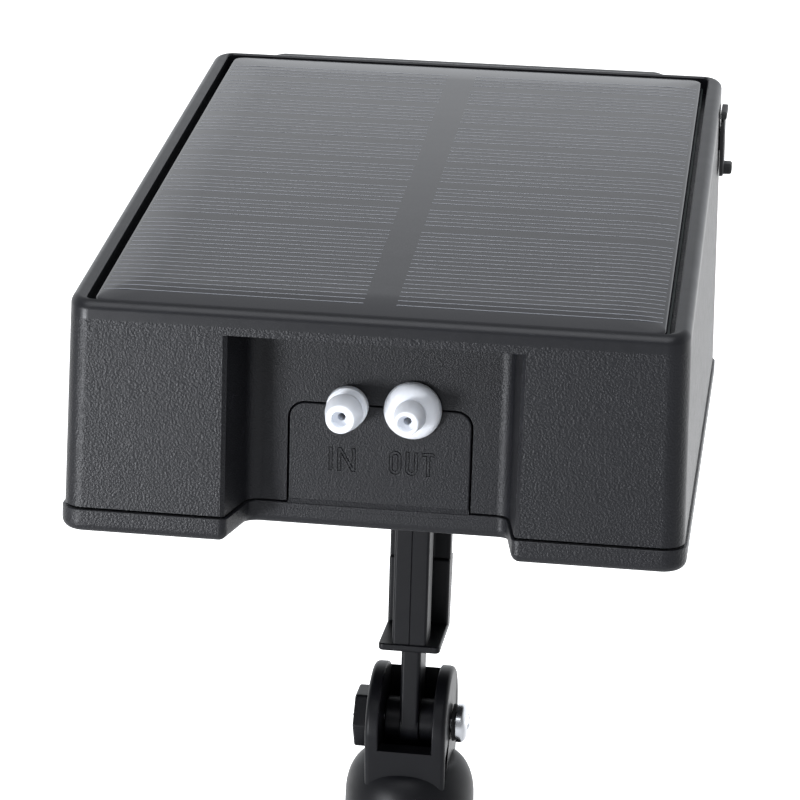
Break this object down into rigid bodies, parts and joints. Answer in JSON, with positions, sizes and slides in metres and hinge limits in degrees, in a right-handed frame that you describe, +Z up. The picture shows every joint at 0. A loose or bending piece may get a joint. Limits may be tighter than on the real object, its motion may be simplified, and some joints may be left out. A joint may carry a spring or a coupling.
{
  "type": "solar irrigation pump",
  "caption": "Wedge-shaped solar pump case with hose barbs in a recessed end, tilting on a forked ground spike.",
  "frame": {"origin": "on the ground spike's axis at the ground line, which is the underside of the spike's round plate", "axes": "+Z up along the stake, +Y from the hose end towards the tall control end, +X to the right seen from the hose end"},
  "size_m": [0.1132, 0.1361, 0.3303],
  "materials": {
    "grained_plastic": "spark-eroded charcoal ABS",
    "bright_steel": "bright zinc-plated steel",
    "black_rubber": "matt black rubber",
    "panel_laminate": "matt laminate",
    "silicon_cell": "near-black cell with fine grid lines",
    "clear_resin": "glossy dark casting resin",
    "white_nylon": "milky white nylon",
    "silicone_hose": "translucent silicone",
    "pump_plastic": "plain dark moulded plastic",
    "motor_can": "plated steel can",
    "battery_sleeve": "blue shrink sleeve",
    "lead_insulation": "PVC insulation",
    "control_label": "satin polycarbonate label",
    "clear_window": "clear acrylic window",
    "display_glass": "grey-green display",
    "button_rubber": "grey silicone rubber",
    "switch_body": "black switch body",
    "lens_green": "tinted clear lens",
    "circuit_laminate": "green solder mask"
  },
  "bodies": {
    "stake": {"fork_head": "grained_plastic", "hinge_screw": "bright_steel", "hinge_washer": "black_rubber", "hinge_nut": "bright_steel", "ground_spike": "grained_plastic"},
    "head": {"post": "grained_plastic", "post_screw": "bright_steel", "upper_shell": "grained_plastic", "base_cover": "grained_plastic", "case_seal": "black_rubber", "case_screw_1": "bright_steel", "case_screw_2": "bright_steel", "case_screw_3": "bright_steel", "case_screw_4": "bright_steel", "case_screw_5": "bright_steel", "case_screw_6": "bright_steel", "panel_backing": "panel_laminate", "solar_cell_left": "silicon_cell", "solar_cell_right": "silicon_cell", "panel_resin": "clear_resin", "inlet_fitting": "white_nylon", "outlet_fitting": "white_nylon", "inlet_hose": "silicone_hose", "outlet_hose": "silicone_hose", "pump_valve_head": "pump_plastic", "pump_diaphragm": "black_rubber", "pump_housing": "pump_plastic", "pump_motor": "motor_can", "pump_saddle": "pump_plastic", "pump_strap": "bright_steel", "battery_cell": "battery_sleeve", "battery_cradle": "pump_plastic", "motor_lead": "lead_insulation", "battery_lead": "lead_insulation", "panel_lead": "lead_insulation", "control_plate": "control_label", "display_window": "clear_window", "display_module": "display_glass", "power_switch": "switch_body", "timer_switch": "switch_body", "status_lens": "lens_green", "circuit_board": "circuit_laminate", "charging_socket": "bright_steel", "socket_board": "circuit_laminate", "flap_anchor": "black_rubber"},
    "flap": {"port_flap": "black_rubber"},
    "power_key": {"power_button": "button_rubber"},
    "timer_key": {"timer_button": "button_rubber"},
    "crank": {"pump_crank": "bright_steel"}
  },
  "joints": [
    {"name": "head_tilt", "type": "hinge", "parent": "stake", "child": "head", "pos_m": [0, 0, 0.07], "axis": [1, 0, 0], "range_deg": [-12, 70]},
    {"name": "flap_hinge", "type": "hinge", "parent": "head", "child": "flap", "pos_m": [0.05524, 0.051, 0.18833], "axis": [0, -1, 0], "range_deg": [0, 110], "stiffness_Nm_per_rad": 0.0002},
    {"name": "power_press", "type": "slide", "parent": "head", "child": "power_key", "axis": [0, -0.9995, -0.033], "range_m": [0, 0.0008], "stiffness_N_per_m": 400, "springref_m": -0.0004},
    {"name": "timer_press", "type": "slide", "parent": "head", "child": "timer_key", "axis": [0, -0.9995, -0.033], "range_m": [0, 0.0008], "stiffness_N_per_m": 400, "springref_m": -0.0004},
    {"name": "crank_spin", "type": "hinge", "parent": "head", "child": "crank", "pos_m": [0, -0.025, 0.1472], "axis": [0, 1, 0], "continuous": true}
  ]
}
